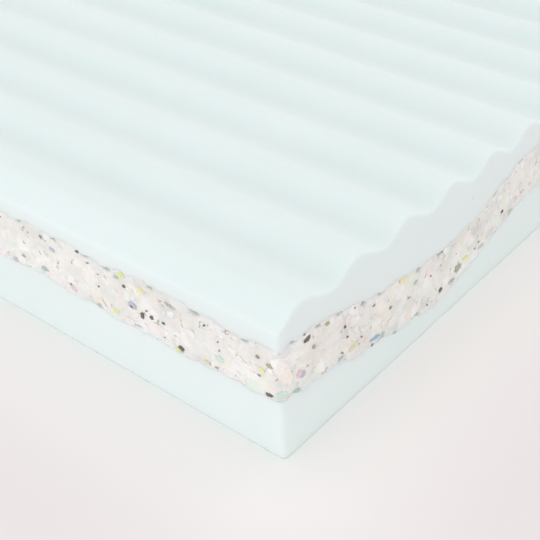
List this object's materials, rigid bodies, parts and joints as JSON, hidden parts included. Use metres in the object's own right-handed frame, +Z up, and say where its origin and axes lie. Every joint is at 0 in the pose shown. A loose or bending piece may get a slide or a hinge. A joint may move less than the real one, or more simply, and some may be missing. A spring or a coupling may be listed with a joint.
{
  "type": "foam mattress",
  "caption": "Layered foam mattress: a crumb foam layer bent in long waves between two mint foam slabs, the upper one cut in crosswise ridges to lie on.",
  "frame": {"origin": "centre of the underside, on the surface it rests on", "axes": "+Z up, +X along the length away from the head end, +Y across the width"},
  "size_m": [2, 0.9, 0.145],
  "materials": {
    "mint_foam": "matte open-cell foam, pale mint",
    "crumb_foam": "matte bonded foam crumb, ivory with coloured flecks"
  },
  "bodies": {
    "root": {"base_slab": "mint_foam", "core_slab": "crumb_foam", "top_slab": "mint_foam"}
  },
  "joints": []
}
